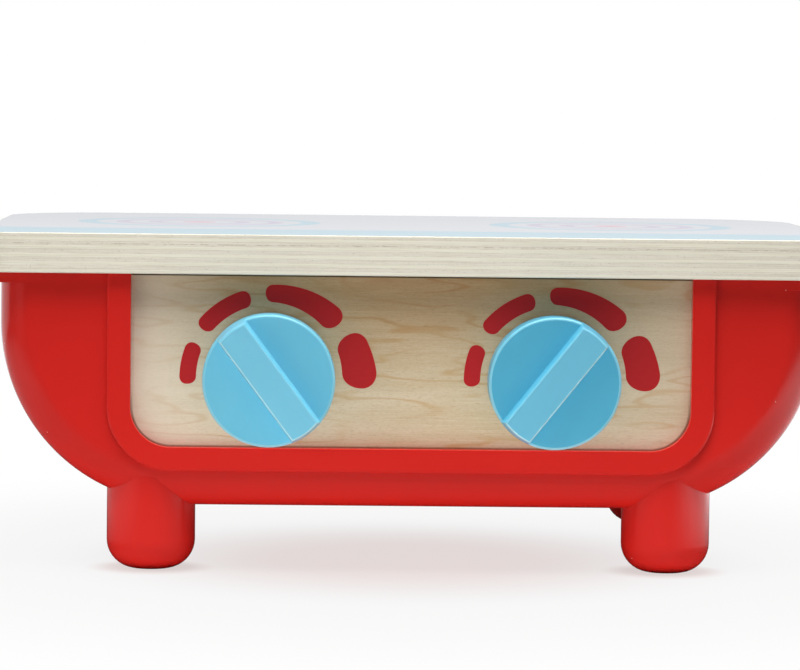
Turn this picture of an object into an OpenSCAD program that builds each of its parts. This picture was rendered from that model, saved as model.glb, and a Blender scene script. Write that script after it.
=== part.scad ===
// Tabletop play stove: a plywood hob board on a moulded plastic tub,
// with a plywood control panel in front and two knobs that click round.
// Front faces -Y, +Z is up, and the origin is at the middle of the box, at table height.

/* [Hob board] */
// Width of the hob board
hob_w = 328; // [300:1:400]
// Depth of the hob board, front edge to back edge
hob_d = 222; // [200:1:270]
// Thickness of the plywood hob board
hob_t = 15; // [14:0.5:20]
// Corner radius of the board at the front, in plan
hob_front_r = 14; // [8:1:20]
// Corner radius of the board at the back, in plan
hob_back_r = 44; // [30:1:46]

/* [Tub] */
// Height of the tub's top rim above the table
tub_h = 112.5; // [100:0.5:140]
// Height of the tub's flat underside above the table
tub_floor_z = 24.5; // [22:0.5:30]
// How far the tub's sides stand in from the board's sides
tub_side_in = 9.5; // [8:0.5:14]
// How far the tub's front stands back from the board's front edge
tub_front_in = 5; // [3:0.5:10]
// How far the tub's back stands in from the board's back edge
tub_back_in = 8; // [7:0.5:14]
// Radius of the big curve from side to underside
side_r = 69; // [55:1:72]
// Radius of the rounded edge round the front face
front_edge_r = 14; // [9:1:18]
// Radius of the rounded edge round the back face
back_edge_r = 30; // [14:1:34]
// Wall of the tub
wall = 2.5; // [2:0.25:3]
// Thickness of the rim flange under the board
lip_t = 4; // [3:0.5:6]
// How far the rim flange stands out at the sides and back
lip_out = 4; // [2:0.5:5]
// Corner radius of the rim flange at the front, in plan
lip_front_r = 5; // [3:0.5:7]

/* [Feet] */
// Diameter of each foot
foot_d = 33.5; // [28:0.5:36]
// Radius round the bottom of each foot
foot_r = 11; // [6:0.5:12]
// Distance of the front feet's middles from the tub's sides
front_foot_in = 56.8; // [50:0.1:62]
// Distance of the rear feet's middles from the tub's sides
rear_foot_in = 49.5; // [44:0.5:56]
// Distance from the front feet to the rear feet
foot_gap_y = 168; // [140:1:170]

/* [Control panel] */
// Width of the opening in the tub's front
opening_w = 210; // [190:1:214]
// Height of the opening's lower edge above the table
opening_z = 47.5; // [45:0.5:56]
// Radius of the opening's lower corners
opening_r = 15; // [10:1:18]
// Width of the raised bezel round the opening
bezel_w = 9; // [7:0.5:9]
// How far the bezel stands proud of the tub's front
bezel_out = 2; // [1:0.25:3]
// Thickness of the plywood control panel
panel_t = 5; // [4:0.5:6]
// How far the panel runs on behind the tub's front wall
panel_lap = 5; // [4:0.5:6]

/* [Knobs] */
// Diameter of each knob
knob_d = 49.5; // [42:0.5:49.5]
// Half the distance between the knob axes
knob_x = 53.3; // [50:0.1:60]
// Height of the knob axes above the table
knob_z = 73.4; // [72.8:0.2:78]
// Distance from the control panel to the knob's round face
knob_rise = 14.5; // [12:0.5:18]
// Height of the grip bar above the knob's round face
bar_h = 7; // [4:0.5:10]
// Width of the grip bar where it meets the round face
bar_w = 14.4; // [10:0.2:17]
// How much narrower each side and end of the bar is at its top
bar_draft = 1.3; // [0.5:0.1:2]
// Radius of the rounded edge round the knob's face
knob_edge_r = 1.5; // [0.5:0.1:2]
// Wall of the hollow knob
knob_wall = 2.2; // [1.8:0.1:3]
// Lean of the left bar from upright, clockwise seen from the front
left_lean = -36.9; // [-60:0.1:60]
// Lean of the right bar from upright, clockwise seen from the front
right_lean = 38.6; // [-60:0.1:60]

/* [Click mechanism] */
// Diameter of the knob's stem
stem_d = 10; // [8:0.5:11]
// Distance across the two flats at the stem's end
stem_flats = 8; // [6:0.5:8]
// Running clearance of the stem in its bush, each side
stem_fit = 0.05; // [0.02:0.01:0.1]
// Wall of the bush round the stem
bush_wall = 2; // [1.5:0.25:2.5]
// Flange thickness of the bush
bush_flange_t = 1.2; // [1:0.1:1.6]
// Outer diameter of the click wheel
wheel_d = 26; // [24:0.5:30]
// Thickness of the click wheel
wheel_t = 6; // [5:0.5:8]
// Number of clicks in a full turn
clicks = 12; // [12]
// Radius of the notches round the click wheel
notch_r = 3.2; // [3:0.1:3.4]
// Thickness of the leaf of the click spring
leaf_t = 1; // [0.8:0.1:1.4]
// Distance between the click spring's two screws
spring_screw_gap = 46; // [44:1:52]

/* [Screws] */
// Shank diameter of the screws that hold the board
hob_screw_d = 3.5; // [3:0.5:4]
// How deep the board's screws go into the plywood
hob_screw_bite = 10; // [8:0.5:11]
// Shank diameter of the small screws
small_screw_d = 3; // [2.5:0.1:3.2]
// How deep the small screws go into the control panel
small_screw_bite = 3.5; // [2.5:0.5:4]
// Distance of the screw wells from the tub's sides
well_in = 44.5; // [40:0.5:50]
// Distance of the front screw wells from the board's front edge
well_front_y = 50; // [48:1:58]
// Distance between the front and rear rows of screw wells
well_gap_y = 110; // [100:1:114]

/* [Hidden] */
$fn = 96;

// Small clearance between pieces that are pushed together
fit = 0.1;
// Gap left between a turning piece and a fixed one
run = 0.4;
// Distance that a cutting shape runs past the surface it cuts
past = 1;

// The knob bars stand in front of the board, so the box's middle lies behind the board's middle
knob_reach = knob_rise + bar_h - tub_front_in - wall;
front_y = knob_reach - (hob_d + knob_reach) / 2;

// Tub planes and curve centres
tub_front_y = front_y + tub_front_in;
tub_back_y = front_y + hob_d - tub_back_in;
tub_half = hob_w / 2 - tub_side_in;
curve_x = tub_half - side_r;
curve_z = tub_floor_z + side_r;

// Places of the feet: the front pair is almost flush with the tub's front face
foot_inset = 0.5;
front_foot_y = tub_front_y + foot_inset + foot_d / 2;
feet = [for (s = [-1, 1]) [s * (tub_half - front_foot_in), front_foot_y],
  for (s = [-1, 1]) [s * (tub_half - rear_foot_in), front_foot_y + foot_gap_y]];
// How far the feet run up past the flat underside, so that they meet the curved edges all round
foot_rise = 18;
foot_top_z = tub_floor_z + foot_rise;

// Control panel
panel_front_y = tub_front_y + wall;
panel_back_y = panel_front_y + panel_t;
panel_half = opening_w / 2 + panel_lap;
panel_bottom_z = opening_z - panel_lap;
panel_r = opening_r + panel_lap;
channel_t = 2.5;
channel_lap = 12;
channel_low_z = panel_bottom_z + panel_r;
channel_screw_x = panel_half + fit - channel_lap / 2;
channel_screw_low = 8;
channel_screw_high = 12;
channel_screw_z = [channel_low_z + channel_screw_low, tub_h - lip_t - channel_screw_high];
seat_w = 8;
seat_in = 24;
seat_x = panel_half - panel_r - seat_in;

// Knob stack, measured along Y from the panel
knob_face_y = panel_front_y - knob_rise;
skirt_gap = 0.8;
knob_skirt_y = panel_front_y - skirt_gap;
bush_flange_y = panel_front_y - bush_flange_t;
bush_flange_w = 2.5;
bush_d = stem_d + 2 * (stem_fit + bush_wall);
wheel_front_y = panel_back_y + run;
wheel_back_y = wheel_front_y + wheel_t;
// Gap between a shoulder on the knob's stem and what it stops against
shoulder_gap = 0.2;
hub_wall = 3;
// The stem ends inside the wheel, so that the screw clamps the wheel and not the stem
stem_short = 0.3;
stem_end_y = wheel_back_y - stem_short;
washer_t = 1;
washer_lap = 2;
washer_back_y = wheel_back_y + washer_t;
screw_head_t = 2.2;
screw_head_lap = 1.25;
knob_screw_head_lap = 1.5;
knob_screw_bite = 12;
knob_hole_depth = 13.2;

// Click wheel and spring: the nose of the spring rests in the top notch
notch_out = 1.5;
notch_x = wheel_d / 2 + notch_out;
nose_gap = 0.6;
nose_r = notch_r - nose_gap;
nose_sink = 0.3;
nose_z = notch_x - nose_sink;
leaf_lift = 1.5;
leaf_z = nose_z + leaf_lift;
tab_w = 10;
tab_t = 1.2;

// Screw wells and the board's screws
wells = [for (y = [well_front_y, well_front_y + well_gap_y]) for (s = [-1, 1])
  [s * (tub_half - well_in), front_y + y]];
well_d = 11;
well_bore = 7.5;
well_head_gap = 0.25;
ledge_t = 4;

// A quarter disc filling the corner of a square that starts at the origin
module quarter(r, turn) {
  intersection() {
    circle(r);
    rotate(turn) square(r);
  }
}

// A flat outline with its own corner radii at the front and at the back
module plan(half, y0, y1, r0, r1) {
  translate([r0 - half, y0]) square([2 * (half - r0), r0]);
  translate([-half, y0 + r0]) square([2 * half, y1 - y0 - r0 - r1]);
  translate([r1 - half, y1 - r1]) square([2 * (half - r1), r1]);
  translate([half - r0, y0 + r0]) quarter(r0, -90);
  translate([r0 - half, y0 + r0]) quarter(r0, 180);
  translate([half - r1, y1 - r1]) quarter(r1, 0);
  translate([r1 - half, y1 - r1]) quarter(r1, 90);
}

// Half of the tub's section: flat front and back, with a rounded edge at each
module tub_section(r, y0, y1, r0, r1) {
  translate([0, y0]) square([r - r0, r0]);
  translate([0, y0 + r0]) square([r, y1 - y0 - r0 - r1]);
  translate([0, y1 - r1]) square([r - r1, r1]);
  translate([r - r0, y0 + r0]) quarter(r0, -90);
  translate([r - r1, y1 - r1]) quarter(r1, 0);
}

// The tub as a solid, grown inwards by a wall and open upwards to a given height
module tub_solid(inset, top_z) {
  r = side_r - inset;
  y0 = tub_front_y + inset;
  y1 = tub_back_y - inset;
  translate([-curve_x, y0, curve_z]) cube([2 * curve_x, y1 - y0, top_z - curve_z]);
  translate([0, 0, curve_z])
    rotate([0, 90, 0])
      linear_extrude(2 * curve_x, center = true)
        tub_section(r, y0, y1, front_edge_r - inset, back_edge_r - inset);
  for (s = [0, 1]) mirror([s, 0, 0]) translate([curve_x, 0, curve_z]) {
    linear_extrude(top_z - curve_z)
      tub_section(r, y0, y1, front_edge_r - inset, back_edge_r - inset);
    rotate([-90, 0, 0])
      rotate_extrude(angle = 90)
        tub_section(r, y0, y1, front_edge_r - inset, back_edge_r - inset);
  }
}

// A round post with a rounded bottom edge: a foot, the hollow inside it, or a knob's body
module round_post(d, r, bottom_z, top_z) {
  translate([0, 0, bottom_z + r]) cylinder(h = top_z - bottom_z - r, d = d);
  rotate_extrude() {
    translate([0, bottom_z]) square([d / 2 - r, r]);
    translate([d / 2 - r, bottom_z + r]) quarter(r, -90);
  }
}

// The U-shaped opening, grown by a margin, open to above the rim, as a flat outline in X and Z
module opening_outline(grow, top_z) {
  half = opening_w / 2 + grow;
  r = opening_r + grow;
  low = opening_z - grow;
  translate([-half, low + r]) square([2 * half, top_z - low - r]);
  translate([r - half, low]) square([2 * (half - r), r]);
  for (s = [-1, 1]) translate([s * (half - r), low + r]) circle(r);
}

// Stands a flat X and Z outline up as a slab from y0 to y1
module upright(y0, y1) {
  translate([0, y1, 0]) rotate([90, 0, 0]) linear_extrude(y1 - y0) children();
}

// A round rod along Y between two planes
module rod_y(x, z, y0, y1, d) {
  translate([x, y0, z]) rotate([-90, 0, 0]) cylinder(h = y1 - y0, d = d);
}

// A pan-head screw pointing along -Y, its head's seat at y = 0
module screw_y(d, bite, head_d, head_t) {
  rod_y(0, 0, -bite, 0, d);
  rod_y(0, 0, 0, head_t, head_d);
}

module hob_board() {
  color("wheat")
    difference() {
      translate([0, 0, tub_h])
        linear_extrude(hob_t)
          plan(hob_w / 2, front_y, front_y + hob_d, hob_front_r, hob_back_r);
      for (p = wells)
        translate([p[0], p[1], tub_h - past])
          cylinder(h = hob_screw_bite + 2 * past, d = hob_screw_d + fit);
    }
}

module panel_channels() {
  channel_h = tub_h - lip_t - channel_low_z;
  channel_y = panel_front_y - fit;
  channel_d = panel_t + 2 * fit + channel_t;
  seat_low_z = tub_floor_z + wall / 2;
  for (s = [0, 1]) mirror([s, 0, 0]) {
    translate([panel_half + fit, channel_y, channel_low_z])
      cube([channel_t, channel_d, channel_h]);
    translate([panel_half + fit - channel_lap, panel_back_y + fit, channel_low_z])
      cube([channel_lap + channel_t, channel_t, channel_h]);
    translate([seat_x - seat_w / 2, channel_y, seat_low_z])
      cube([seat_w, channel_d, panel_bottom_z - seat_low_z]);
  }
}

module tub_shell() {
  color("red")
    difference() {
      union() {
        difference() {
          union() {
            tub_solid(0, tub_h);
            translate([0, 0, tub_h - lip_t])
              linear_extrude(lip_t)
                plan(tub_half + lip_out, tub_front_y, tub_back_y + lip_out,
                  lip_front_r, hob_back_r - tub_back_in + lip_out);
            for (p = feet) translate([p[0], p[1], 0]) round_post(foot_d, foot_r, 0, foot_top_z);
          }
          tub_solid(wall, tub_h + past);
        }
        intersection() {
          tub_solid(wall / 2, tub_h);
          union() {
            for (p = wells)
              translate([p[0], p[1], tub_floor_z]) cylinder(h = tub_h - tub_floor_z, d = well_d);
            panel_channels();
          }
        }
        upright(tub_front_y - bezel_out, panel_front_y) difference() {
          opening_outline(bezel_w, tub_h - lip_t);
          opening_outline(0, tub_h + past);
        }
      }
      upright(tub_front_y - bezel_out - past, panel_front_y)
        opening_outline(0, tub_h + past);
      for (p = feet) translate([p[0], p[1], 0])
        round_post(foot_d - 2 * wall, foot_r - wall, wall, foot_top_z);
      for (p = wells) {
        translate([p[0], p[1], 0]) cylinder(h = tub_h - ledge_t, d = well_bore);
        translate([p[0], p[1], 0]) cylinder(h = tub_h + past, d = hob_screw_d + 2 * fit);
      }
      for (s = [-1, 1]) for (z = channel_screw_z)
        rod_y(s * channel_screw_x, z, panel_back_y - past, panel_back_y + channel_t + past,
          small_screw_d + 2 * fit);
    }
}

module front_panel() {
  color("burlywood")
    difference() {
      upright(panel_front_y, panel_back_y) opening_outline(panel_lap, tub_h - fit);
      for (s = [-1, 1]) {
        rod_y(s * knob_x, knob_z, panel_front_y - past, panel_back_y + past, bush_d + fit);
        for (z = channel_screw_z)
          rod_y(s * channel_screw_x, z, panel_back_y - small_screw_bite, panel_back_y + past,
            small_screw_d + fit);
        for (t = [-1, 1])
          rod_y(s * knob_x + t * spring_screw_gap / 2, knob_z + leaf_z + tab_w / 2,
            panel_back_y - small_screw_bite, panel_back_y + past, small_screw_d + fit);
      }
    }
}

// A knob at the origin of its own axis, leaning by the given angle
module knob(lean) {
  rotate([0, lean, 0]) difference() {
    union() {
      difference() {
        translate([0, knob_skirt_y, 0]) rotate([-90, 0, 0])
          round_post(knob_d, knob_edge_r, knob_face_y - knob_skirt_y, 0);
        rod_y(0, 0, knob_face_y + knob_wall, knob_skirt_y + past, knob_d - 2 * knob_wall);
      }
      intersection() {
        translate([0, knob_face_y + knob_wall / 2, 0]) rotate([90, 0, 0])
          cylinder(h = bar_h + knob_wall / 2, r1 = knob_d / 2, r2 = knob_d / 2 - bar_draft);
        translate([0, knob_face_y, -knob_d / 2])
          linear_extrude(knob_d)
            polygon([[-bar_w / 2, knob_wall / 2], [-bar_w / 2, 0],
              [bar_draft - bar_w / 2, -bar_h], [bar_w / 2 - bar_draft, -bar_h],
              [bar_w / 2, 0], [bar_w / 2, knob_wall / 2]]);
      }
      rod_y(0, 0, knob_face_y + knob_wall / 2, bush_flange_y - shoulder_gap, stem_d + 2 * hub_wall);
      rod_y(0, 0, knob_face_y + knob_wall / 2, wheel_front_y - shoulder_gap, stem_d);
      intersection() {
        rod_y(0, 0, wheel_front_y - run, stem_end_y, stem_d);
        translate([-stem_flats / 2, wheel_front_y - run, -stem_d])
          cube([stem_flats, wheel_t + run, 2 * stem_d]);
      }
    }
    rod_y(0, 0, wheel_back_y - knob_hole_depth, wheel_back_y, small_screw_d + fit);
  }
}

module click_wheel(lean) {
  difference() {
    rod_y(0, 0, wheel_front_y, wheel_back_y, wheel_d);
    for (i = [0:clicks - 1]) rotate([0, i * 360 / clicks, 0])
      rod_y(0, notch_x, wheel_front_y - past, wheel_back_y + past, 2 * notch_r);
    rotate([0, lean, 0]) intersection() {
      rod_y(0, 0, wheel_front_y - past, wheel_back_y + past, stem_d + fit);
      translate([-(stem_flats + fit) / 2, wheel_front_y - past, -stem_d])
        cube([stem_flats + fit, wheel_t + 2 * past, 2 * stem_d]);
    }
  }
}

module panel_bush() {
  difference() {
    union() {
      rod_y(0, 0, bush_flange_y, panel_front_y, bush_d + 2 * bush_flange_w);
      rod_y(0, 0, panel_front_y - bush_flange_t / 2, panel_back_y, bush_d);
    }
    rod_y(0, 0, bush_flange_y - past, panel_back_y + past, stem_d + 2 * stem_fit);
  }
}

module click_spring() {
  half = spring_screw_gap / 2;
  difference() {
    union() {
      for (t = [-1, 1])
        translate([t * half - tab_w / 2, panel_back_y, leaf_z]) cube([tab_w, tab_t, tab_w]);
      translate([-half - tab_w / 2, panel_back_y, leaf_z])
        cube([2 * half + tab_w, wheel_back_y - panel_back_y, leaf_t]);
      rod_y(0, nose_z, wheel_front_y, wheel_back_y, 2 * nose_r);
    }
    for (t = [-1, 1])
      rod_y(t * half, leaf_z + tab_w / 2, panel_back_y - past, panel_back_y + tab_t + past,
        small_screw_d + 2 * fit);
  }
}

module knob_washer() {
  difference() {
    rod_y(0, 0, wheel_back_y, washer_back_y, stem_d + 2 * washer_lap);
    rod_y(0, 0, wheel_back_y - past, washer_back_y + past, small_screw_d + 2 * fit);
  }
}

module knob_screw() {
  translate([0, washer_back_y, 0])
    screw_y(small_screw_d, washer_t + knob_screw_bite, small_screw_d + 2 * knob_screw_head_lap,
      screw_head_t);
}

module spring_screws() {
  for (t = [-1, 1])
    translate([t * spring_screw_gap / 2, panel_back_y + tab_t, leaf_z + tab_w / 2])
      screw_y(small_screw_d, tab_t + small_screw_bite - fit, small_screw_d + 2 * screw_head_lap,
        screw_head_t);
}

// Places a piece on the left or right knob axis
module on_axis(side) {
  translate([side * knob_x, 0, knob_z]) children();
}

module knob_left() {
  color("skyblue") on_axis(-1) knob(left_lean);
}

module knob_right() {
  color("skyblue") on_axis(1) knob(right_lean);
}

module panel_bush_left() {
  color("ivory") on_axis(-1) panel_bush();
}

module panel_bush_right() {
  color("ivory") on_axis(1) panel_bush();
}

module click_wheel_left() {
  color("ivory") on_axis(-1) click_wheel(left_lean);
}

module click_wheel_right() {
  color("ivory") on_axis(1) click_wheel(right_lean);
}

module click_spring_left() {
  color("ivory") on_axis(-1) click_spring();
}

module click_spring_right() {
  color("ivory") on_axis(1) click_spring();
}

module knob_washer_left() {
  color("silver") on_axis(-1) knob_washer();
}

module knob_washer_right() {
  color("silver") on_axis(1) knob_washer();
}

module knob_screw_left() {
  color("silver") on_axis(-1) knob_screw();
}

module knob_screw_right() {
  color("silver") on_axis(1) knob_screw();
}

module spring_screws_left() {
  color("silver") on_axis(-1) spring_screws();
}

module spring_screws_right() {
  color("silver") on_axis(1) spring_screws();
}

module panel_screws() {
  color("silver")
    for (s = [-1, 1]) for (z = channel_screw_z)
      translate([s * channel_screw_x, panel_back_y + fit + channel_t, z])
        screw_y(small_screw_d, channel_t + small_screw_bite, small_screw_d + 2 * screw_head_lap,
          screw_head_t);
}

module hob_screws() {
  color("silver")
    for (p = wells) translate([p[0], p[1], tub_h - ledge_t]) {
      cylinder(h = ledge_t + hob_screw_bite, d = hob_screw_d);
      translate([0, 0, -screw_head_t]) cylinder(h = screw_head_t, d = well_bore - 2 * well_head_gap);
    }
}

hob_board();
tub_shell();
front_panel();
knob_left();
knob_right();
panel_bush_left();
panel_bush_right();
click_wheel_left();
click_wheel_right();
click_spring_left();
click_spring_right();
knob_washer_left();
knob_washer_right();
knob_screw_left();
knob_screw_right();
spring_screws_left();
spring_screws_right();
panel_screws();
hob_screws();
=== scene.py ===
import math

import bpy
from mathutils import Matrix, Vector


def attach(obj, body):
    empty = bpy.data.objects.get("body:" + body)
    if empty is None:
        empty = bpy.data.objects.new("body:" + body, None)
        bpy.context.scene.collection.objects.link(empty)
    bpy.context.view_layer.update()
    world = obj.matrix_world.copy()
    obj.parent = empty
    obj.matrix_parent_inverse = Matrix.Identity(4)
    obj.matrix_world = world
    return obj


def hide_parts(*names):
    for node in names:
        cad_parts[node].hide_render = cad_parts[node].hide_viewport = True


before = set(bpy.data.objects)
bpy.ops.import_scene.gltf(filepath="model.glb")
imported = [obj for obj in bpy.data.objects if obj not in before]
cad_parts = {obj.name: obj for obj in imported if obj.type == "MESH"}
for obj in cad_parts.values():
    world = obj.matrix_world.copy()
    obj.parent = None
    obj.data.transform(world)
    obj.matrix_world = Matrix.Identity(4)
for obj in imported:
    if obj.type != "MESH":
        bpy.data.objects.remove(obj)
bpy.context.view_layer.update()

# Tub: one red ABS moulding with a rim flange, a raised bezel round its opening and four hollow
# feet. It is injection moulded in a polished mould, so the outside is glossy, every outside edge
# is a little round, and four wells for the board's screws stand up inside it.
MM = 0.001
TUB_HALF, TUB_FRONT, TUB_BACK = 154.5, -99.0, 110.0
TUB_LOW, TUB_TOP = 24.5, 112.5
SIDE_R, FRONT_EDGE_R, BACK_EDGE_R, WALL = 69.0, 14.0, 30.0, 2.5
LIP_LOW, LIP_OUT, LIP_FRONT_R, LIP_BACK_R = 108.5, 4.0, 5.0, 40.0
FOOT_R, FOOT_EDGE_R, FOOT_TOP = 16.75, 11.0, 42.5
FEET = [(-97.7, -81.75), (97.7, -81.75), (-105.0, 86.25), (105.0, 86.25)]
OPENING_HALF, OPENING_LOW, OPENING_R = 105.0, 47.5, 15.0
BEZEL_W, BEZEL_FRONT, PANEL_FRONT = 9.0, -101.0, -96.5
WELLS = [(-110.0, -54.0), (110.0, -54.0), (-110.0, 56.0), (110.0, 56.0)]
WELL_R, WELL_BORE_R, LEDGE_LOW = 5.5, 3.75, 108.5
CHANNEL_SCREWS = [(s * 104.1, z) for s in (-1, 1) for z in (70.5, 96.5)]


def only(piece):
    """Makes one piece the only thing selected."""
    bpy.ops.object.select_all(action="DESELECT")
    piece.select_set(True)
    bpy.context.view_layer.objects.active = piece


def settle(piece, name):
    """Names a new piece and puts its place, turn and size into its mesh."""
    piece.name = piece.data.name = name
    only(piece)
    bpy.ops.object.transform_apply(location=True, rotation=True, scale=True)
    return piece


def block(name, low, high):
    """A box between two corners in millimetres."""
    bpy.ops.object.select_all(action="DESELECT")
    bpy.ops.mesh.primitive_cube_add(
        size=1,
        location=[(a + b) / 2 * MM for a, b in zip(low, high)],
        scale=[(b - a) * MM for a, b in zip(low, high)],
    )
    return settle(bpy.context.object, name)


def post(name, start, length, radius, along="Z", sides=64):
    """A round post in millimetres, from the middle of one end."""
    bpy.ops.object.select_all(action="DESELECT")
    axis = Vector((0, 0, 1)) if along == "Z" else Vector((0, 1, 0))
    bpy.ops.mesh.primitive_cylinder_add(
        vertices=sides,
        radius=radius * MM,
        depth=length * MM,
        location=(Vector(start) + axis * length / 2) * MM,
        rotation=(0 if along == "Z" else math.pi / 2, 0, 0),
    )
    return settle(bpy.context.object, name)


def pick(piece, kind, test):
    """Goes into edit mode with the edges or faces whose corners, in millimetres, pass a test."""
    only(piece)
    bpy.ops.object.mode_set(mode="EDIT")
    bpy.ops.mesh.select_mode(type=kind)
    bpy.ops.mesh.select_all(action="DESELECT")
    bpy.ops.object.mode_set(mode="OBJECT")
    data = piece.data
    for part in data.edges if kind == "EDGE" else data.polygons:
        part.select = test([data.vertices[i].co / MM for i in part.vertices])
    bpy.ops.object.mode_set(mode="EDIT")


def round_edges(piece, test, radius, segments, material=-1):
    """Rounds the edges whose two ends pass a test."""
    pick(piece, "EDGE", test)
    bpy.ops.mesh.bevel(
        offset=radius * MM, segments=segments, affect="EDGES", material=material
    )
    bpy.ops.object.mode_set(mode="OBJECT")


def join(pieces):
    """Joins pieces that don't overlap into one object."""
    bpy.ops.object.select_all(action="DESELECT")
    for piece in pieces:
        piece.select_set(True)
    bpy.context.view_layer.objects.active = pieces[0]
    bpy.ops.object.join()
    return pieces[0]


def cross(piece, tool, operation, overlapping=False):
    """Unites, cuts or intersects a piece with a tool, and uses the tool up."""
    only(piece)
    step = piece.modifiers.new("step", "BOOLEAN")
    step.object, step.operation, step.solver = tool, operation, "EXACT"
    step.use_self = overlapping
    bpy.ops.object.modifier_apply(modifier=step.name)
    bpy.data.objects.remove(tool, do_unlink=True)


def near(value, target):
    return abs(value - target) < 0.02


def tub_body(name, inset, top):
    """The tub as a solid, grown inwards by an inset: flat front, back and underside."""
    half, low = TUB_HALF - inset, TUB_LOW + inset
    front, back = TUB_FRONT + inset, TUB_BACK - inset
    body = block(name, (-half, front, low), (half, back, top))
    round_edges(
        body,
        lambda ends: all(near(p.z, low) for p in ends) and near(ends[0].x, ends[1].x),
        SIDE_R - inset,
        40,
    )
    for y, radius, segments in ((front, FRONT_EDGE_R, 12), (back, BACK_EDGE_R, 20)):
        round_edges(
            body,
            lambda ends: all(near(p.y, y) for p in ends) and min(p.z for p in ends) < top - 1,
            radius - inset,
            segments,
        )
    return body


def opening_block(name, grow, front, back, top):
    """The opening's U shape as a block: square above, two round corners below."""
    half, low = OPENING_HALF + grow, OPENING_LOW - grow
    piece = block(name, (-half, front, low), (half, back, top))
    round_edges(
        piece,
        lambda ends: all(near(p.z, low) for p in ends) and near(ends[0].x, ends[1].x),
        OPENING_R + grow,
        16,
    )
    return piece


def foot_post(name, spot, wall):
    """A foot, or the hollow inside it, with its round bottom edge."""
    foot = post(name, (*spot, wall), FOOT_TOP - wall, FOOT_R - wall)
    round_edges(foot, lambda ends: all(near(p.z, wall) for p in ends), FOOT_EDGE_R - wall, 10)
    return foot


def tub_fittings():
    """Screw wells, panel channels and panel seats, trimmed to the middle of the tub's wall."""
    wells = [post("well", (*spot, TUB_LOW), TUB_TOP - TUB_LOW, WELL_R, sides=40) for spot in WELLS]
    strips = []
    for s in (-1, 1):
        for low, high in (
            ((s * 110.1, -96.6, 62.5), (s * 112.6, -88.9, LIP_LOW)),
            ((s * 98.1, -91.4, 62.5), (s * 112.6, -88.9, LIP_LOW)),
            ((s * 62.0, -96.6, TUB_LOW), (s * 70.0, -88.9, 42.5)),
        ):
            corners = [sorted(pair) for pair in zip(low, high)]
            strips.append(block("strip", [c[0] for c in corners], [c[1] for c in corners]))
    fittings = join(wells + strips)
    cross(fittings, tub_body("trim", WALL / 2, TUB_TOP), "INTERSECT", overlapping=True)
    return fittings


tub = tub_body("tub", 0.0, TUB_TOP)
lip = block(
    "lip",
    (-TUB_HALF - LIP_OUT, TUB_FRONT, LIP_LOW),
    (TUB_HALF + LIP_OUT, TUB_BACK + LIP_OUT, TUB_TOP),
)
for y, radius, segments in ((TUB_FRONT, LIP_FRONT_R, 8), (TUB_BACK + LIP_OUT, LIP_BACK_R, 24)):
    round_edges(
        lip,
        lambda ends: all(near(p.y, y) for p in ends) and near(ends[0].x, ends[1].x),
        radius,
        segments,
    )
cross(tub, lip, "UNION")
cross(tub, join([foot_post("foot", spot, 0.0) for spot in FEET]), "UNION")
cross(tub, opening_block("bezel", BEZEL_W, BEZEL_FRONT, PANEL_FRONT, TUB_TOP), "UNION")
cross(tub, tub_body("hollow", WALL, TUB_TOP + 1), "DIFFERENCE")
cross(tub, tub_fittings(), "UNION")
cross(tub, opening_block("opening", 0.0, BEZEL_FRONT - 1, PANEL_FRONT + 2, TUB_TOP + 1), "DIFFERENCE")
cross(tub, join([foot_post("foot_hollow", spot, WALL) for spot in FEET]), "DIFFERENCE")
cross(
    tub,
    join([post("bore", (*spot, 0), LEDGE_LOW, WELL_BORE_R, sides=40) for spot in WELLS]),
    "DIFFERENCE",
)
cross(
    tub,
    join(
        [post("hole", (*spot, LEDGE_LOW - 1), 6, 1.85, sides=24) for spot in WELLS]
        + [post("hole", (x, -93, z), 6, 1.6, along="Y", sides=24) for x, z in CHANNEL_SCREWS]
    ),
    "DIFFERENCE",
)


def tidy_mesh(piece, gap=0.0):
    """Joins the flat triangles that cutting leaves, and merges corners closer than a gap."""
    only(piece)
    bpy.ops.object.mode_set(mode="EDIT")
    bpy.ops.mesh.select_all(action="SELECT")
    if gap:
        bpy.ops.mesh.remove_doubles(threshold=gap * MM)
    bpy.ops.mesh.dissolve_limited(angle_limit=math.radians(0.3))
    bpy.ops.mesh.normals_make_consistent(inside=False)
    bpy.ops.object.mode_set(mode="OBJECT")


def soften(piece, radius, segments, test, material=-1):
    """Rounds the sharp edges that pass a test of their ends and of the angle they make."""
    faces_at = {}
    data = piece.data
    for face in data.polygons:
        for key in face.edge_keys:
            faces_at.setdefault(key, []).append(face.normal)
    weights = data.attributes.get("bevel_weight_edge")
    if weights is None:
        weights = data.attributes.new("bevel_weight_edge", "FLOAT", "EDGE")
    chosen = 0
    for edge in data.edges:
        normals = faces_at.get(tuple(sorted(edge.vertices)), [])
        turn = math.degrees(normals[0].angle(normals[1], 0)) if len(normals) == 2 else 0
        ends = [data.vertices[i].co / MM for i in edge.vertices]
        weights.data[edge.index].value = 1.0 if turn > 20 and test(ends) else 0.0
        chosen += weights.data[edge.index].value > 0
    only(piece)
    step = piece.modifiers.new("soften", "BEVEL")
    step.limit_method, step.width, step.segments = "WEIGHT", radius * MM, segments
    step.use_clamp_overlap, step.miter_outer, step.material = False, "MITER_SHARP", material
    bpy.ops.object.modifier_apply(modifier=step.name)
    return chosen


def smooth(piece, angle=35):
    """Smooth shading that keeps sharp edges, with the big flat faces kept flat."""
    only(piece)
    bpy.ops.object.shade_smooth_by_angle(angle=math.radians(angle))
    step = piece.modifiers.new("even", "WEIGHTED_NORMAL")
    step.keep_sharp = True
    bpy.ops.object.modifier_apply(modifier=step.name)


tidy_mesh(tub, 0.05)


def on_lip(p):
    outside = p.y < -98.9 or p.y > 100 or abs(p.x) > 154.6
    return outside and (near(p.z, LIP_LOW) or near(p.z, TUB_TOP))


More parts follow.
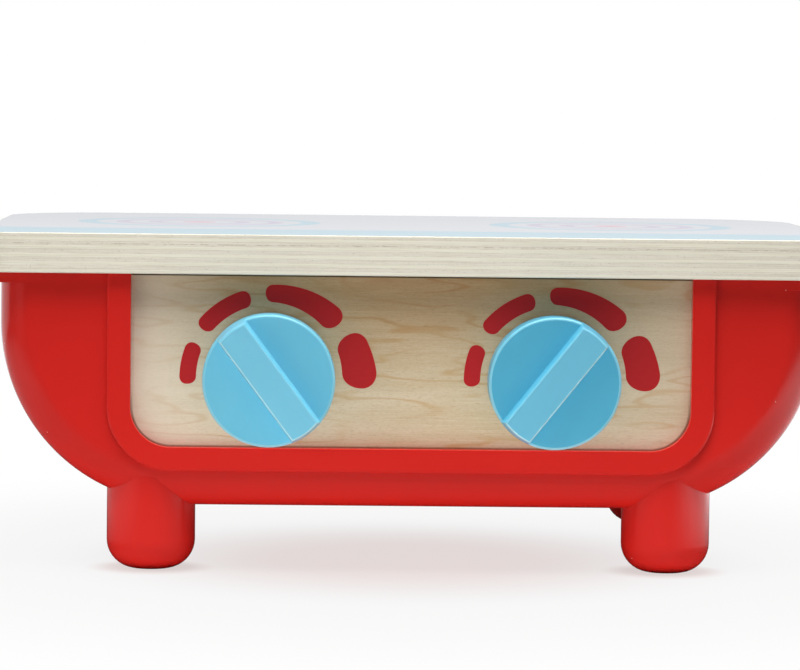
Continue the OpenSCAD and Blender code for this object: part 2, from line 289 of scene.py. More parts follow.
def on_opening(p):
    return near(p.y, BEZEL_FRONT) and abs(p.x) < OPENING_HALF + 0.1 and p.z > OPENING_LOW - 0.1


def on_bezel(p):
    return near(p.y, BEZEL_FRONT) and not on_opening(p) and p.z < TUB_TOP - 0.1


soften(tub, 1.0, 4, lambda ends: all(near(p.y, BEZEL_FRONT) for p in ends)
       and any(on_bezel(p) for p in ends))
soften(tub, 0.4, 2, lambda ends: all(on_opening(p) for p in ends))
soften(tub, 0.5, 2, lambda ends: all(on_lip(p) for p in ends))
smooth(tub)


def add_node(tree, kind, inputs=(), **settings):
    """Adds a node with its settings. An input is a plain value or another node's socket."""
    made = tree.nodes.new(kind)
    for name, value in settings.items():
        setattr(made, name, value)
    for name, value in dict(inputs).items():
        if isinstance(value, bpy.types.NodeSocket):
            tree.links.new(value, made.inputs[name])
        else:
            made.inputs[name].default_value = value
    return made


def linear(code):
    """An sRGB hex colour as linear RGBA."""
    parts = [int(code[i : i + 2], 16) / 255 for i in (1, 3, 5)]
    return [c / 12.92 if c <= 0.04045 else ((c + 0.055) / 1.055) ** 2.4 for c in parts] + [1.0]


def finish(name, **settings):
    """A new material with its shader's plain sockets set. Returns material, tree and shader."""
    material = bpy.data.materials.new(name)
    material.use_nodes = True
    shader = material.node_tree.nodes["Principled BSDF"]
    for key, value in settings.items():
        shader.inputs[key.replace("_", " ")].default_value = value
    return material, material.node_tree, shader


def clothe(piece, *materials):
    """Gives a piece, or a carried node, its materials."""
    kept = [face.material_index for face in piece.data.polygons]
    piece.data.materials.clear()
    for material in materials:
        piece.data.materials.append(material)
    if len(materials) > 1:
        piece.data.polygons.foreach_set("material_index", kept)


# Glossy injection-moulded ABS: deep red, polished, with the faint long ripple of a moulding and
# a few specks of dust that the studio light picks out.
RED, RED_DEEP, DUST = "#D5241D", "#CD211B", "#E8B8B4"
red_abs, tree, shader = finish("red_abs_moulded_glossy", Roughness=0.16, IOR=1.53)
place = add_node(tree, "ShaderNodeTexCoord").outputs["Object"]
cloud = add_node(tree, "ShaderNodeTexNoise", {"Vector": place, "Scale": 1 / (40 * MM), "Detail": 2})
tint = add_node(
    tree,
    "ShaderNodeMix",
    {"Factor": cloud.outputs["Fac"], "A": linear(RED), "B": linear(RED_DEEP)},
    data_type="RGBA",
)
specks = add_node(tree, "ShaderNodeTexVoronoi", {"Vector": place, "Scale": 1 / (9 * MM)})
dot = add_node(
    tree, "ShaderNodeMath", {0: specks.outputs["Distance"], 1: 0.022}, operation="LESS_THAN"
)
colour = add_node(
    tree,
    "ShaderNodeMix",
    {"Factor": dot.outputs[0], "A": tint.outputs["Result"], "B": linear(DUST)},
    data_type="RGBA",
)
ripple = add_node(tree, "ShaderNodeTexNoise", {"Vector": place, "Scale": 1 / (14 * MM), "Detail": 1})
bump = add_node(
    tree,
    "ShaderNodeBump",
    {"Height": ripple.outputs["Fac"], "Strength": 0.06, "Distance": 0.3 * MM},
)
tree.links.new(colour.outputs["Result"], shader.inputs["Base Color"])
tree.links.new(bump.outputs["Normal"], shader.inputs["Normal"])
clothe(tub, red_abs)
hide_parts("tub_shell")
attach(tub, "stove")

# Hob board: fifteen millimetres of birch plywood with sanded edges and a printed, lacquered top.
# It is sawn and its corners are milled round, so the bare plies show all round the edge.
BOARD_HALF, BOARD_FRONT, BOARD_BACK = 164.0, -104.0, 118.0
BOARD_LOW, BOARD_TOP = 112.5, 127.5
BOARD_FRONT_R, BOARD_BACK_R, ARRIS_R = 14.0, 44.0, 0.45
PLY = 1.5

board = block(
    "board", (-BOARD_HALF, BOARD_FRONT, BOARD_LOW), (BOARD_HALF, BOARD_BACK, BOARD_TOP)
)
for y, radius, segments in ((BOARD_FRONT, BOARD_FRONT_R, 20), (BOARD_BACK, BOARD_BACK_R, 40)):
    round_edges(
        board,
        lambda ends: all(near(p.y, y) for p in ends) and near(ends[0].x, ends[1].x),
        radius,
        segments,
    )
for z, radius in ((BOARD_LOW, 0.5), (BOARD_TOP, ARRIS_R)):
    round_edges(board, lambda ends: all(near(p.z, z) for p in ends), radius, 4)
cross(
    board,
    join([post("pilot", (*spot, BOARD_LOW - 1), 12, 1.8, sides=24) for spot in WELLS]),
    "DIFFERENCE",
)
tidy_mesh(board)
smooth(board)


def math_node(tree, operation, a, b=0.0):
    return add_node(tree, "ShaderNodeMath", {0: a, 1: b}, operation=operation).outputs[0]


def blend(tree, factor, a, b, kind="MIX"):
    """Mixes two colours, each a hex code or another node's socket."""
    pair = [linear(c) if isinstance(c, str) else c for c in (a, b)]
    made = add_node(
        tree,
        "ShaderNodeMix",
        {"Factor": factor, "A": pair[0], "B": pair[1]},
        data_type="RGBA",
        blend_type=kind,
    )
    return made.outputs["Result"]


def step_up(tree, value, low, high):
    """Nought below one value, one above the other, and smooth between them."""
    made = add_node(
        tree,
        "ShaderNodeMapRange",
        {"Value": value, "From Min": low, "From Max": high},
        interpolation_type="SMOOTHSTEP",
    )
    return made.outputs["Result"]


def stretched(tree, place, size_mm, detail=3.0, roughness=0.5, shift=(0, 0, 0)):
    """Noise whose grain has its own size in millimetres along each axis."""
    mapped = add_node(
        tree,
        "ShaderNodeMapping",
        {"Vector": place, "Scale": [1 / (s * MM) for s in size_mm], "Location": shift},
    )
    made = add_node(
        tree,
        "ShaderNodeTexNoise",
        {"Vector": mapped.outputs[0], "Scale": 1.0, "Detail": detail, "Roughness": roughness},
    )
    return made.outputs["Fac"]


# Sanded birch plywood: pale cream plies whose grain runs along the board, between greyer plies
# cut across, with a thin brown glue line at each joint. The top carries a satin print.
plywood, tree, shader = finish("birch_plywood_sanded_printed", Roughness=0.6, IOR=1.45)
place = add_node(tree, "ShaderNodeTexCoord").outputs["Object"]
parts = add_node(tree, "ShaderNodeSeparateXYZ", {"Vector": place})
wave = stretched(tree, place, (60, 60, 12), 2)
height = math_node(
    tree,
    "ADD",
    math_node(
        tree, "DIVIDE", math_node(tree, "SUBTRACT", parts.outputs["Z"], BOARD_LOW * MM), PLY * MM
    ),
    math_node(tree, "MULTIPLY", math_node(tree, "SUBTRACT", wave, 0.5), 0.14),
)
layer = math_node(tree, "FLOOR", height)
odd = math_node(tree, "MODULO", layer, 2.0)
into = math_node(tree, "FRACT", height)
along = stretched(tree, place, (26, 0.4, 0.28), 4, 0.6)
across = stretched(tree, place, (9, 26, 0.3), 5, 0.7)
long_ply = blend(tree, step_up(tree, along, 0.3, 0.7), "#E7E2CD", "#F4F1E2")
cross_ply = blend(tree, step_up(tree, across, 0.25, 0.75), "#DCD6C4", "#EDE8D9")
wood = blend(tree, odd, long_ply, cross_ply)
ply_tone = stretched(tree, place, (50, 50, 1.5), 1)
wood = blend(
    tree, math_node(tree, "MULTIPLY", step_up(tree, ply_tone, 0.35, 0.7), 0.35), wood, "#F0ECDC"
)
off_middle = math_node(tree, "ABSOLUTE", math_node(tree, "SUBTRACT", into, 0.5))
patchy = step_up(tree, stretched(tree, place, (8, 8, 3), 2, 0.6, (2, 6, 1)), 0.35, 0.7)
seam = math_node(tree, "MULTIPLY", step_up(tree, off_middle, 0.40, 0.49), patchy)
wood = blend(tree, math_node(tree, "MULTIPLY", seam, 0.4), wood, "#A08C6E")
lines = step_up(tree, stretched(tree, place, (70, 70, 0.17), 2, 0.6, (4, 4, 4)), 0.5, 0.72)
wood = blend(tree, math_node(tree, "MULTIPLY", lines, 0.35), wood, "#A79C87")
# One glue joint a quarter of the way down shows as a broken brown line
joint_off = math_node(tree, "ABSOLUTE", math_node(tree, "SUBTRACT", height, 7.4))
broken = step_up(tree, stretched(tree, place, (3.2, 3.2, 9), 3, 0.7, (1, 8, 2)), 0.42, 0.58)
joint = math_node(tree, "MULTIPLY", math_node(tree, "SUBTRACT", 1.0, step_up(tree, joint_off, 0.02, 0.09)), broken)
wood = blend(tree, math_node(tree, "MULTIPLY", joint, 0.7), wood, "#93764C")
pores = step_up(tree, stretched(tree, place, (0.7, 0.7, 0.28), 2, 0.7, (7, 3, 5)), 0.64, 0.70)
pores = math_node(tree, "MULTIPLY", pores, math_node(tree, "ADD", math_node(tree, "MULTIPLY", odd, 0.35), 0.15))
wood = blend(tree, pores, wood, "#5F4E3C")

# The print: a pale field with a light blue band along the front and two burners of plain rings
# Painted shade: these print colours are darker than the print itself, to offset the strong overhead light on the top
FIELD, BAND, BURNER_BLUE, BURNER_PINK, BURNER_RED = "#A9ABB0", "#8FA6B0", "#8CA4AF", "#9F99A9", "#B08C94"
flat = add_node(tree, "ShaderNodeCombineXYZ", {"X": parts.outputs["X"], "Y": parts.outputs["Y"]})
band = step_up(tree, parts.outputs["Y"], -52 * MM, -51 * MM)
ink = blend(tree, band, BAND, FIELD)
for side in (-1, 1):
    away = add_node(
        tree,
        "ShaderNodeVectorMath",
        {0: flat.outputs[0], 1: (side * 83 * MM, 20 * MM, 0)},
        operation="DISTANCE",
    ).outputs["Value"]
    for radius, half_width, code in (
        (45, 4, BURNER_BLUE),
        (31, 3, BURNER_PINK),
        (18, 3, BURNER_PINK),
        (0, 7, BURNER_RED),
    ):
        off = math_node(tree, "ABSOLUTE", math_node(tree, "SUBTRACT", away, radius * MM))
        ring = math_node(tree, "SUBTRACT", 1.0, step_up(tree, off, (half_width - 0.3) * MM, half_width * MM))
        ink = blend(tree, ring, ink, code)
edge_x = math_node(tree, "SUBTRACT", BOARD_HALF * MM, math_node(tree, "ABSOLUTE", parts.outputs["X"]))
edge_y = math_node(tree, "SUBTRACT", parts.outputs["Y"], BOARD_FRONT * MM)
inside = math_node(
    tree, "MULTIPLY", step_up(tree, edge_x, 0.5 * MM, 0.8 * MM), step_up(tree, edge_y, 0.5 * MM, 0.8 * MM)
)
printed = math_node(tree, "MULTIPLY", inside, step_up(tree, parts.outputs["Z"], 127.42 * MM, 127.46 * MM))
colour = blend(tree, printed, wood, ink)
rough = add_node(
    tree, "ShaderNodeMapRange", {"Value": printed, "To Min": 0.62, "To Max": 0.32}
).outputs["Result"]
grain = math_node(tree, "ADD", along, across)
bump = add_node(tree, "ShaderNodeBump", {"Height": grain, "Strength": 0.25, "Distance": 0.12 * MM})
tree.links.new(colour, shader.inputs["Base Color"])
tree.links.new(rough, shader.inputs["Roughness"])
tree.links.new(bump.outputs["Normal"], shader.inputs["Normal"])
clothe(board, plywood)
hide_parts("hob_board")
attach(board, "stove")

# Control panel: five millimetre plywood with a clear-lacquered birch face, slid into the tub's
# channels behind the opening. Its shape is the CAD node's own; the veneer's figure is added here.
veneer, tree, shader = finish("birch_veneer_clear_lacquer", Roughness=0.5, IOR=1.45)
place = add_node(tree, "ShaderNodeTexCoord").outputs["Object"]
broad = stretched(tree, place, (120, 30, 14), 3, 0.5)
figure = stretched(tree, place, (75, 30, 13), 2, 0.5, (3, 1, 8))
rings = math_node(tree, "FRACT", math_node(tree, "MULTIPLY", figure, 8.0))
vein = step_up(tree, math_node(tree, "ABSOLUTE", math_node(tree, "SUBTRACT", rings, 0.5)), 0.28, 0.50)
figured = step_up(tree, stretched(tree, place, (60, 30, 22), 1, 0.5, (5, 2, 8)), 0.40, 0.56)
streaks = stretched(tree, place, (22, 3, 0.6), 4, 0.65)
flecks = step_up(tree, stretched(tree, place, (2.4, 2, 0.22), 2, 0.6), 0.56, 0.68)
dashes = step_up(tree, stretched(tree, place, (3.4, 2, 0.3), 1, 0.5, (9, 4, 6)), 0.66, 0.74)
wood = blend(tree, step_up(tree, broad, 0.3, 0.7), "#CBB792", "#DCCDB0")
wood = blend(tree, math_node(tree, "MULTIPLY", step_up(tree, streaks, 0.4, 0.75), 0.5), wood, "#E2D4BA")
wood = blend(
    tree,
    math_node(tree, "MULTIPLY", math_node(tree, "MULTIPLY", vein, figured), 0.5),
    wood,
    "#C0934F",
)
mottle = stretched(tree, place, (1.2, 2, 0.4), 3, 0.75, (1, 1, 1))
wood = blend(tree, math_node(tree, "MULTIPLY", step_up(tree, mottle, 0.45, 0.7), 0.35), wood, "#BFA378")
wood = blend(tree, math_node(tree, "MULTIPLY", flecks, 0.20), wood, "#A98A5F")
wood = blend(tree, math_node(tree, "MULTIPLY", dashes, 0.30), wood, "#93703F")
# Painted shade makes the sheet yellower and darker along its top, under the board's overhang, and painted light makes
# it paler towards both ends, most at the left end, nearest the front-left lamp
parts = add_node(tree, "ShaderNodeSeparateXYZ", {"Vector": place})
height = parts.outputs["Z"]
ends = step_up(tree, math_node(tree, "ABSOLUTE", parts.outputs["X"]), 55 * MM, 103 * MM)
pale = math_node(tree, "SUBTRACT", 0.35, math_node(tree, "MULTIPLY", parts.outputs["X"], 1.9))
wood = blend(tree, math_node(tree, "MULTIPLY", ends, pale), wood, "#E9E0D0")
middle = math_node(tree, "SUBTRACT", 0.7, math_node(tree, "MULTIPLY", ends, 0.45))
wood = blend(
    tree,
    math_node(tree, "MULTIPLY", step_up(tree, height, 62 * MM, 116 * MM), middle),
    wood,
    "#D0B28C",
    "MULTIPLY",
)
# Painted shade: a dark line along the panel's top edge, where it meets the board
wood = blend(tree, step_up(tree, height, 111.4 * MM, 111.9 * MM), wood, "#3B2615")
# A hair of painted shadow where the panel runs down behind the opening's lower edge
over_x = math_node(tree, "SUBTRACT", math_node(tree, "ABSOLUTE", parts.outputs["X"]), (OPENING_HALF - OPENING_R) * MM)
over_z = math_node(tree, "SUBTRACT", (OPENING_LOW + OPENING_R) * MM, parts.outputs["Z"])
corner = math_node(
    tree,
    "SQRT",
    math_node(
        tree,
        "ADD",
        math_node(tree, "POWER", math_node(tree, "MAXIMUM", over_x, 0.0), 2.0),
        math_node(tree, "POWER", math_node(tree, "MAXIMUM", over_z, 0.0), 2.0),
    ),
)
gap = step_up(tree, corner, (OPENING_R - 0.9) * MM, (OPENING_R - 0.1) * MM)
gap = math_node(tree, "MULTIPLY", gap, step_up(tree, height, 72 * MM, 56 * MM))
wood = blend(tree, math_node(tree, "MULTIPLY", gap, 0.8), wood, "#50331A")
bump = add_node(tree, "ShaderNodeBump", {"Height": streaks, "Strength": 0.2, "Distance": 0.06 * MM})
tree.links.new(wood, shader.inputs["Base Color"])
tree.links.new(bump.outputs["Normal"], shader.inputs["Normal"])
clothe(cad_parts["front_panel"], veneer)

# Dial marks: dark red screen-printed strokes round each knob, shorter and thinner on the left,
# longer and fatter on the right, so that a child sees the heat grow. Ink lies just proud of wood.
KNOB_X, KNOB_Z = 53.3, 73.4
INK_T = 0.08
# Each stroke: angles from +X and radii of its two end centres, and its widths there
STROKES = [
    ((179.1, 160.3), (30.5, 30.5), (6.2, 6.2)),
    ((138.6, 108.9), (31.0, 31.0), (6.6, 6.6)),
    ((87.4, 45.9), (31.9, 32.6), (6.6, 9.2)),
    ((20.2, 4.2), (33.5, 33.9), (11.8, 12.9)),
]
END_DEPTH, END_POWER = 0.92, 2.15


def stroke(axis_x, angles, radii, widths):
    """One printed stroke: a strip swept round the knob's axis, with fully round ends."""
    first, last = (math.radians(a) for a in angles)
    length = abs(last - first) * sum(radii) / 2
    bpy.ops.object.select_all(action="DESELECT")
    bpy.ops.mesh.primitive_grid_add(x_subdivisions=48, y_subdivisions=1, size=1)
    strip = bpy.context.object
    for vertex in strip.data.vertices:
        # Columns crowd towards the ends, where the outline turns fast
        t = (1 - math.cos(math.pi * (vertex.co.x + 0.5))) / 2
        caps = [END_DEPTH * width / 2 for width in widths]
        run = t * (length + sum(caps)) - caps[0]
        share = min(max(run / length, 0), 1)
        half = (widths[0] + (widths[1] - widths[0]) * share) / 2
        past = max(-run, run - length, 0)
        cap = caps[0] if run < 0 else caps[1]
        half *= max(1 - (past / cap) ** END_POWER, 0) ** (1 / END_POWER)
        angle = first + (last - first) * run / length
        radius = radii[0] + (radii[1] - radii[0]) * share
        reach = radius + math.copysign(half, vertex.co.y)
        vertex.co = (
            (axis_x + reach * math.cos(angle)) * MM,
            PANEL_FRONT * MM,
            (KNOB_Z + reach * math.sin(angle)) * MM,
        )
    only(strip)
    bpy.ops.object.mode_set(mode="EDIT")
    bpy.ops.mesh.select_all(action="SELECT")
    bpy.ops.mesh.remove_doubles(threshold=0.01 * MM)
    bpy.ops.mesh.normals_make_consistent(inside=False)
    bpy.ops.object.mode_set(mode="OBJECT")
    film = strip.modifiers.new("ink", "SOLIDIFY")
    film.thickness, film.offset = INK_T * MM, 0.0
    bpy.ops.object.modifier_apply(modifier=film.name)
    return strip


ink_sides = []
for side in (-1, 1):
    marks = join([stroke(side * KNOB_X, *sizes) for sizes in STROKES])
    marks.name = marks.data.name = "dial_marks_left" if side < 0 else "dial_marks_right"
    ink_sides.append(marks)

# Screen ink: opaque dark red, dries satin over the lacquered wood.
screen_ink, tree, shader = finish(
    "screen_ink_red_satin", Roughness=0.5, IOR=1.5, Specular_IOR_Level=0.3
)
place = add_node(tree, "ShaderNodeTexCoord").outputs["Object"]
patchy = stretched(tree, place, (6, 3, 1.2), 3, 0.6)
tree.links.new(blend(tree, patchy, "#B51C20", "#BD2024"), shader.inputs["Base Color"])
for marks in ink_sides:
    clothe(marks, screen_ink)
    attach(marks, "stove")

# Knobs: light blue ABS mouldings, hollow behind, with a grip bar right across the round face and
# a stem that runs through the panel's bush into the click wheel. Drafted so they leave the mould.
KNOB_R, KNOB_FACE, KNOB_SKIRT, BAR_H = 24.75, -111.0, -97.3, 7.0
BAR_HALF, BAR_DRAFT, KNOB_WALL, STEM_END = 7.2, 1.3, 2.2, -85.4
HUB_END, SHOULDER = -97.9, -91.3


def knob_body():
    """A knob with its bar upright, on an axis through the origin."""
    body = post("knob", (0, KNOB_FACE, 0), KNOB_SKIRT - KNOB_FACE, KNOB_R, along="Y", sides=120)
    bar = post("bar_round", (0, KNOB_FACE - BAR_H, 0), BAR_H + 1.0, KNOB_R, along="Y", sides=120)
    for vertex in bar.data.vertices:
        if near(vertex.co.y / MM, KNOB_FACE - BAR_H):
            shrink = 1 - BAR_DRAFT / KNOB_R
            vertex.co.x *= shrink
            vertex.co.z *= shrink
    slab = block("bar", (-BAR_HALF, KNOB_FACE - BAR_H - 1, -40), (BAR_HALF, KNOB_FACE + 2, 40))
    slope = BAR_DRAFT / BAR_H
    for vertex in slab.data.vertices:
        rise = KNOB_FACE - vertex.co.y / MM
        vertex.co.x -= math.copysign(slope * rise * MM, vertex.co.x)
    cross(bar, slab, "INTERSECT")
    for _ in range(2):
        body.data.materials.append(None)
    round_edges(body, lambda ends: all(near(p.y, KNOB_FACE) for p in ends), 1.0, 4, 1)
    cross(body, bar, "UNION")
    hollow = post("hollow", (0, KNOB_FACE + KNOB_WALL, 0), 20, KNOB_R - KNOB_WALL, along="Y", sides=96)
    cross(body, hollow, "DIFFERENCE")
    cross(body, post("hub", (0, -109.9, 0), HUB_END + 109.9, 8.0, along="Y", sides=48), "UNION")
    cross(body, post("stem", (0, -109.9, 0), SHOULDER + 109.9, 5.0, along="Y", sides=48), "UNION")
    end = post("stem_end", (0, SHOULDER - 1, 0), STEM_END - SHOULDER + 1, 5.0, along="Y", sides=48)
    cross(end, block("flats", (-4, SHOULDER - 2, -6), (4, STEM_END + 1, 6)), "INTERSECT")
    cross(body, end, "UNION")
    cross(body, post("screw_hole", (0, -98.3, 0), 14, 1.55, along="Y", sides=24), "DIFFERENCE")
    tidy_mesh(body, 0.02)
    bar_top = KNOB_FACE - BAR_H
    soften(body, 0.5, 3, lambda ends: all(near(p.y, bar_top) for p in ends), 1)
    smooth(body, 40)
    return body


# Satin injection-moulded ABS: light blue and a little translucent.
blue_abs, tree, shader = finish(
    "blue_abs_moulded_satin",
    Roughness=0.36,
    IOR=1.53,
    Subsurface_Weight=0.25,
    Subsurface_Radius=(0.6, 1.0, 1.2),
    Subsurface_Scale=1.2 * MM,
)
place = add_node(tree, "ShaderNodeTexCoord").outputs["Object"]
cloud = stretched(tree, place, (16, 16, 16), 2)
bump = add_node(
    tree,
    "ShaderNodeBump",
    {"Height": stretched(tree, place, (0.5, 0.5, 0.5), 2), "Strength": 0.08, "Distance": 0.05 * MM},
)
parts = add_node(tree, "ShaderNodeSeparateXYZ", {"Vector": place})
side = step_up(tree, parts.outputs["X"], -MM, MM)
# The right knob's blue is a shade deeper than the left's
left_knob_blue = blend(tree, cloud, "#68BFDA", "#71C5DF")
right_knob_blue = blend(tree, cloud, "#4EADCC", "#57B4D2")
blue = blend(tree, side, left_knob_blue, right_knob_blue)
# Painted light: the grip bar stands clear of the face and is coloured paler than it
bar_painted_light = step_up(tree, parts.outputs["Y"], (KNOB_FACE - 1) * MM, (KNOB_FACE - BAR_H) * MM)
blue = blend(tree, math_node(tree, "MULTIPLY", bar_painted_light, 0.45), blue, "#8AD3EC")
tree.links.new(blue, shader.inputs["Base Color"])
# The same translucent plastic on the rounded edges, with a painted highlight: they are coloured paler, most where
# they face down and along the grip bar
blue_edge_highlight = blue_abs.copy()
blue_edge_highlight.name = "blue_abs_edge_painted_highlight"
tree = blue_edge_highlight.node_tree
shader = tree.nodes["Principled BSDF"]
facing = add_node(tree, "ShaderNodeNewGeometry").outputs["Normal"]
down = add_node(tree, "ShaderNodeSeparateXYZ", {"Vector": facing}).outputs["Z"]
bar_painted_light = step_up(
    tree,
    add_node(tree, "ShaderNodeSeparateXYZ", {"Vector": add_node(tree, "ShaderNodeTexCoord").outputs["Object"]}).outputs["Y"],
    (KNOB_FACE - 3) * MM,
    (KNOB_FACE - 5) * MM,
)
painted_edge_highlight = blend(tree, bar_painted_light, "#93D2E3", "#BDE9F2")
edge_highlight_colour = blend(tree, step_up(tree, down, 0.35, -0.3), "#72C2DA", painted_edge_highlight)
tree.links.new(edge_highlight_colour, shader.inputs["Base Color"])
tree.links.new(bump.outputs["Normal"], shader.inputs["Normal"])

upright_knob = knob_body()
for name, side, lean in (("left", -1, -36.9), ("right", 1, 38.6)):
    knob = upright_knob
    if side > 0:
        knob = upright_knob.copy()
        knob.data = plain_mesh
        bpy.context.scene.collection.objects.link(knob)
    else:
        plain_mesh = upright_knob.data.copy()
    knob.name = knob.data.name = f"knob_{name}_moulding"
    turn = Matrix.Translation((side * KNOB_X * MM, 0, KNOB_Z * MM)) @ Matrix.Rotation(
        math.radians(lean), 4, "Y"
    )
    knob.data.transform(turn)
    clothe(knob, blue_abs, blue_edge_highlight)
    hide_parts(f"knob_{name}")
    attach(knob, f"{name}_control")

# Click works: bushes, notched wheels and leaf springs moulded in natural nylon, off-white and
# slightly waxy. They keep the CAD nodes' shapes.
nylon, tree, shader = finish(
    "nylon_natural_moulded", Roughness=0.48, IOR=1.53, Subsurface_Weight=0.1, Subsurface_Scale=MM
)
place = add_node(tree, "ShaderNodeTexCoord").outputs["Object"]
waxy = stretched(tree, place, (9, 9, 9), 2)
tree.links.new(blend(tree, waxy, "#E4DFCE", "#EDE9DC"), shader.inputs["Base Color"])
for side in ("left", "right"):
    for kind in ("panel_bush", "click_wheel", "click_spring"):
        clothe(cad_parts[f"{kind}_{side}"], nylon)

# Screws and washers: zinc-plated steel, cold headed and barrel plated, so bright but uneven.
zinc, tree, shader = finish("steel_zinc_plated", Metallic=1.0)
place = add_node(tree, "ShaderNodeTexCoord").outputs["Object"]
spangle = stretched(tree, place, (1.5, 1.5, 1.5), 3)
tree.links.new(blend(tree, spangle, "#B4B6B8", "#CDCFD0"), shader.inputs["Base Color"])
rough = add_node(tree, "ShaderNodeMapRange", {"Value": spangle, "To Min": 0.25, "To Max": 0.42})
tree.links.new(rough.outputs["Result"], shader.inputs["Roughness"])
for name in ("knob_washer_left", "knob_washer_right", "knob_screw_left", "knob_screw_right",
             "spring_screws_left", "spring_screws_right", "panel_screws", "hob_screws"):
    clothe(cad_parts[name], zinc)

# Studio: a plain white table that runs back out of sight, a broad soft light overhead, a softer
# one from the front left, and white surroundings that are dimmer behind the camera.
bpy.ops.object.select_all(action="DESELECT")
bpy.ops.mesh.primitive_plane_add(size=16, location=(0, 0, 0))
table = bpy.context.object
table.name = "table"
paper, tree, shader = finish("white_table_paper", Roughness=0.85, Specular_IOR_Level=0.2)
seen = add_node(tree, "ShaderNodeLightPath")
place = add_node(tree, "ShaderNodeTexCoord").outputs["Object"]
parts = add_node(tree, "ShaderNodeSeparateXYZ", {"Vector": place})
# Painted reflections: to glossy rays the table is dark grey, but it glows at its sides, more on the right, and behind
# the tub, brightest to the right behind it
near_side = [
    math_node(
        tree,
        "MULTIPLY",
        step_up(tree, parts.outputs["X"], s * 0.12, s * 0.32),
        step_up(tree, parts.outputs["X"], s * 0.9, s * 0.4),
    )
    for s in (-1, 1)
]
side_on = math_node(
    tree,
    "MULTIPLY",
    math_node(tree, "ADD", math_node(tree, "MULTIPLY", near_side[0], 0.3), near_side[1]),
    step_up(tree, parts.outputs["Y"], -0.5, -0.15),
)
right_back = math_node(
    tree,
    "MULTIPLY",
    step_up(tree, parts.outputs["X"], 0.16, 0.4),
    step_up(tree, parts.outputs["Y"], 0.05, 0.2),
)
behind = math_node(tree, "MULTIPLY", step_up(tree, parts.outputs["Y"], 0.12, 0.3), 0.6)
side_on = math_node(tree, "MAXIMUM", side_on, math_node(tree, "MAXIMUM", behind, right_back))
away = add_node(
    tree, "ShaderNodeVectorMath", {0: place, 1: (0, -0.05, 0)}, operation="DISTANCE"
).outputs["Value"]
around = blend(tree, step_up(tree, away, 0.18, 0.30), "#F2F1F0", "#7C7A78")
bounced = blend(tree, seen.outputs["Is Glossy Ray"], around, "#3A3A3A")
tree.links.new(
    blend(tree, seen.outputs["Is Camera Ray"], bounced, "#7C7573"), shader.inputs["Base Color"]
)
strength = math_node(
    tree,
    "ADD",
    1.0,
    math_node(
        tree,
        "MULTIPLY",
        seen.outputs["Is Glossy Ray"],
        math_node(tree, "ADD", 0.5, math_node(tree, "MULTIPLY", right_back, 1.4)),
    ),
)
# Painted: the floor's white glow is tinted pink under the tub, standing in for bounce from the red plastic, and it
# thins round each front foot, so the rendered shadow there shows closer and darker
beside = add_node(
    tree,
    "ShaderNodeCombineXYZ",
    {"X": math_node(tree, "ABSOLUTE", parts.outputs["X"]), "Y": parts.outputs["Y"]},
)
foot_off = add_node(
    tree,
    "ShaderNodeVectorMath",
    {0: beside.outputs[0], 1: (FEET[1][0] * MM, FEET[1][1] * MM, 0)},
    operation="DISTANCE",
).outputs["Value"]
open_floor = step_up(tree, foot_off, 0.012, 0.026)
painted_pink_fade = math_node(tree, "MULTIPLY", open_floor, step_up(tree, away, 0.03, 0.13))
white = add_node(
    tree, "ShaderNodeEmission", {"Color": blend(tree, painted_pink_fade, "#FFF4F2", "#FFFFFF"), "Strength": strength}
)
veil = math_node(
    tree,
    "ADD",
    math_node(tree, "MULTIPLY", step_up(tree, away, 0.05, 0.15), 0.15),
    math_node(tree, "ADD", math_node(tree, "MULTIPLY", step_up(tree, away, 0.13, 0.36), 0.09), 0.62),
)
veil = math_node(tree, "ADD", veil, math_node(tree, "MULTIPLY", open_floor, 0.14))
mirrored = math_node(tree, "MULTIPLY", side_on, seen.outputs["Is Glossy Ray"])
distant = math_node(
    tree, "ADD", math_node(tree, "MULTIPLY", veil, seen.outputs["Is Camera Ray"]), mirrored
)
mixed = add_node(
    tree, "ShaderNodeMixShader", {0: distant, 1: shader.outputs[0], 2: white.outputs[0]}
)
tree.links.new(mixed.outputs[0], tree.nodes["Material Output"].inputs["Surface"])
table.data.materials.append(paper)

world = bpy.data.worlds.new("studio")
bpy.context.scene.world = world
world.use_nodes = True
tree = world.node_tree
tree.nodes.clear()
seen = add_node(tree, "ShaderNodeLightPath")
heading = add_node(tree, "ShaderNodeTexCoord").outputs["Generated"]
parts = add_node(tree, "ShaderNodeSeparateXYZ", {"Vector": heading})
level = add_node(
    tree,
    "ShaderNodeMapRange",
    {"Value": parts.outputs["Y"], "From Min": -0.6, "From Max": 1.0, "To Min": 0.08, "To Max": 0.76},
    interpolation_type="SMOOTHSTEP",
).outputs["Result"]
walls = step_up(tree, math_node(tree, "ABSOLUTE", parts.outputs["X"]), 0.5, 1.0)
walls = math_node(
    tree,
    "MULTIPLY",
    math_node(tree, "ADD", math_node(tree, "MULTIPLY", walls, 0.6), 0.15),
    math_node(
        tree, "ADD", 0.05, math_node(tree, "MULTIPLY", seen.outputs["Is Glossy Ray"], 0.95)
    ),
)
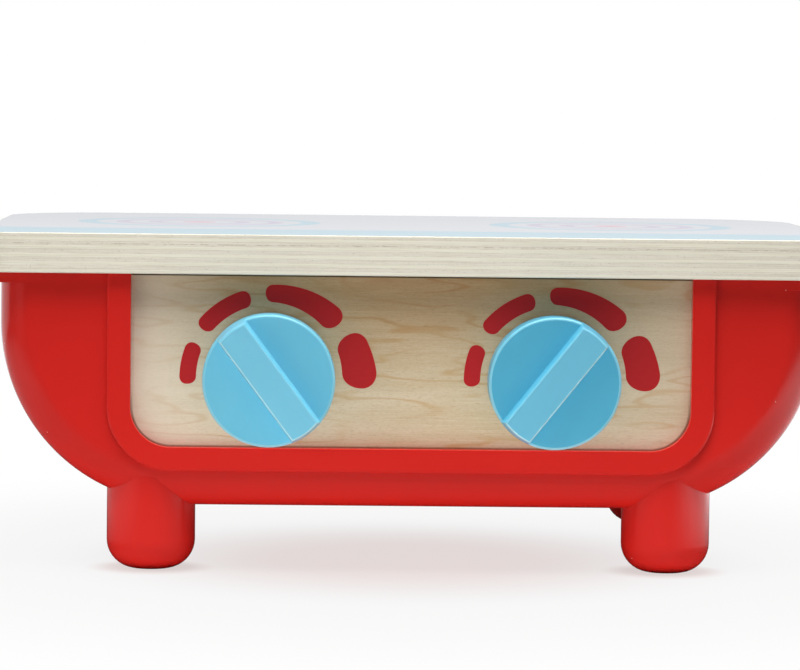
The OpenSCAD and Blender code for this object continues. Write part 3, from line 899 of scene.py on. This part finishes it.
strength = add_node(
    tree,
    "ShaderNodeMix",
    {"Factor": seen.outputs["Is Camera Ray"], "A": math_node(tree, "ADD", level, walls), "B": 1.0},
).outputs["Result"]
sky = add_node(tree, "ShaderNodeBackground", {"Color": linear("#FFFFFF"), "Strength": strength})
add_node(tree, "ShaderNodeOutputWorld", {"Surface": sky.outputs[0]})

blockers = bpy.data.collections.new("overhead_blockers")
for piece in (board, tub):
    blockers.objects.link(piece)
for name, spot, aim, size, power in (
    ("softbox_overhead", (0.1, -0.46, 1.3), (0, -0.3, 0.0), (1.3, 0.6), 28.0),
    ("softbox_left_front", (-0.95, -0.62, 0.2), (-0.03, -0.1, 0.07), (0.45, 0.4), 2.3),
):
    light = bpy.data.lights.new(name, "AREA")
    light.shape, (light.size, light.size_y), light.energy = "RECTANGLE", size, power
    lamp = bpy.data.objects.new(name, light)
    lamp.location = spot
    lamp.rotation_euler = (Vector(aim) - Vector(spot)).to_track_quat("-Z", "Y").to_euler()
    bpy.context.scene.collection.objects.link(lamp)
    if name == "softbox_overhead":
        lamp.light_linking.blocker_collection = blockers
    else:
        lamp.visible_glossy = False

# Camera: at the photograph's angle, a long lens from 1.44 m in front of the board's edge.
camera = bpy.data.objects.new("camera", bpy.data.cameras.new("camera"))
bpy.context.scene.collection.objects.link(camera)
camera.data.lens, camera.data.sensor_width = 174.15, 36.0
camera.data.clip_start, camera.data.clip_end = 0.05, 60.0
YAW, PITCH, ROLL = 0.0246, 0.0654, 0.0117
forward = Vector((math.sin(YAW) * math.cos(PITCH), math.cos(YAW) * math.cos(PITCH), -math.sin(PITCH)))
level_right = Vector((math.cos(YAW), -math.sin(YAW), 0))
level_up = level_right.cross(forward)
right = level_right * math.cos(ROLL) + level_up * math.sin(ROLL)
up = level_up * math.cos(ROLL) - level_right * math.sin(ROLL)
turned = Matrix((right, up, -forward)).transposed().to_4x4()
camera.matrix_world = Matrix.Translation((-0.0400, -1.544, 0.185)) @ turned
bpy.context.scene.camera = camera
bpy.context.scene.view_settings.view_transform = "Standard"
